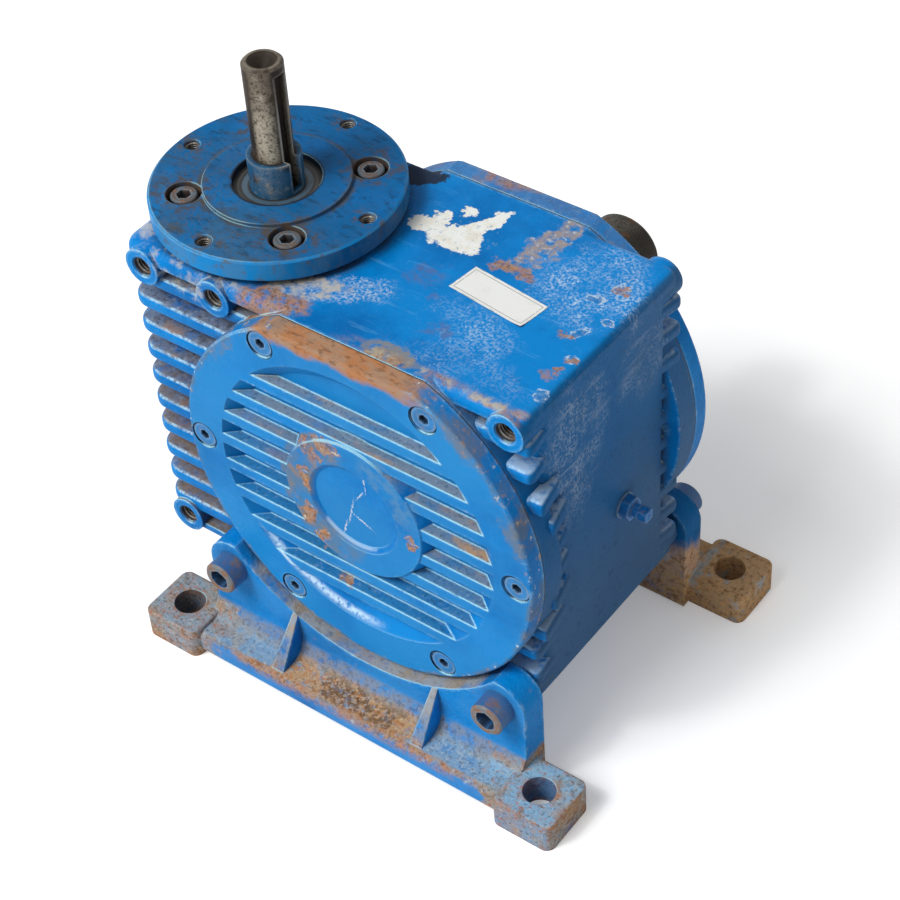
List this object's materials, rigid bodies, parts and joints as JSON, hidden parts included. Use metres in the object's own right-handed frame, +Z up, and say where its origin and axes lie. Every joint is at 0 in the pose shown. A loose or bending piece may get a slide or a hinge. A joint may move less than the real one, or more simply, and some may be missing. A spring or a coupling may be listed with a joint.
{
  "type": "worm gear reducer",
  "caption": "Worm gear reducer: finned cast housing on two bolted feet, upright keyed input shaft in a motor flange, horizontal output shaft, working worm and wheel.",
  "frame": {"origin": "centre of the four foot holes, on the plane that the feet stand on", "axes": "+X along the front cover towards the oil plug, +Y along the output shaft, +Z up along the worm"},
  "size_m": [0.342, 0.3195, 0.376],
  "materials": {
    "blue_paint": "worn glossy paint",
    "rusty_foot": "rusted casting with paint left",
    "shaft_steel": "turned steel, stained",
    "screw_steel": "blackened steel",
    "bearing_steel": "ground steel",
    "bronze": "machined bronze",
    "grey_iron": "machined casting",
    "seal_rubber": "matt",
    "gasket_sheet": "pressed fibre sheet"
  },
  "bodies": {
    "case": {"housing": "blue_paint", "front_cover": "blue_paint", "rear_cover": "blue_paint", "input_flange": "blue_paint", "worm_end_cap": "blue_paint", "front_foot": "rusty_foot", "rear_foot": "rusty_foot", "front_cover_screws": "screw_steel", "rear_cover_screws": "screw_steel", "input_flange_screws": "screw_steel", "worm_end_cap_screws": "screw_steel", "front_foot_bolts": "screw_steel", "rear_foot_bolts": "screw_steel", "oil_plug_bushing": "screw_steel", "oil_plug": "screw_steel", "upper_worm_bearing_cup": "bearing_steel", "lower_worm_bearing_cup": "bearing_steel", "front_wheel_bearing_cup": "bearing_steel", "rear_wheel_bearing_cup": "bearing_steel", "input_oil_seal": "seal_rubber", "output_oil_seal": "seal_rubber", "front_cover_gasket": "gasket_sheet", "rear_cover_gasket": "gasket_sheet", "input_flange_gasket": "gasket_sheet", "worm_end_cap_gasket": "gasket_sheet"},
    "worm": {"worm_shaft": "shaft_steel", "upper_worm_bearing_cone": "bearing_steel", "upper_worm_bearing_rollers": "bearing_steel", "upper_worm_bearing_cage": "bearing_steel", "lower_worm_bearing_cone": "bearing_steel", "lower_worm_bearing_rollers": "bearing_steel", "lower_worm_bearing_cage": "bearing_steel"},
    "wheel": {"wheel_rim": "bronze", "wheel_hub": "grey_iron", "wheel_rim_bolts": "screw_steel", "output_shaft": "shaft_steel", "wheel_key": "shaft_steel", "front_spacer": "shaft_steel", "rear_spacer": "shaft_steel", "front_wheel_bearing_cone": "bearing_steel", "front_wheel_bearing_rollers": "bearing_steel", "front_wheel_bearing_cage": "bearing_steel", "rear_wheel_bearing_cone": "bearing_steel", "rear_wheel_bearing_rollers": "bearing_steel", "rear_wheel_bearing_cage": "bearing_steel"}
  },
  "joints": [
    {"name": "wheel_spin", "type": "hinge", "parent": "case", "child": "wheel", "pos_m": [0, 0, 0.165], "axis": [0, 1, 0], "continuous": true},
    {"name": "worm_spin", "type": "hinge", "parent": "case", "child": "worm", "pos_m": [-0.112, 0, 0.165], "axis": [0, 0, 1], "continuous": true}
  ],
  "couplings": [
    {"joint": "worm_spin", "follows": "wheel_spin", "ratio": -30}
  ]
}
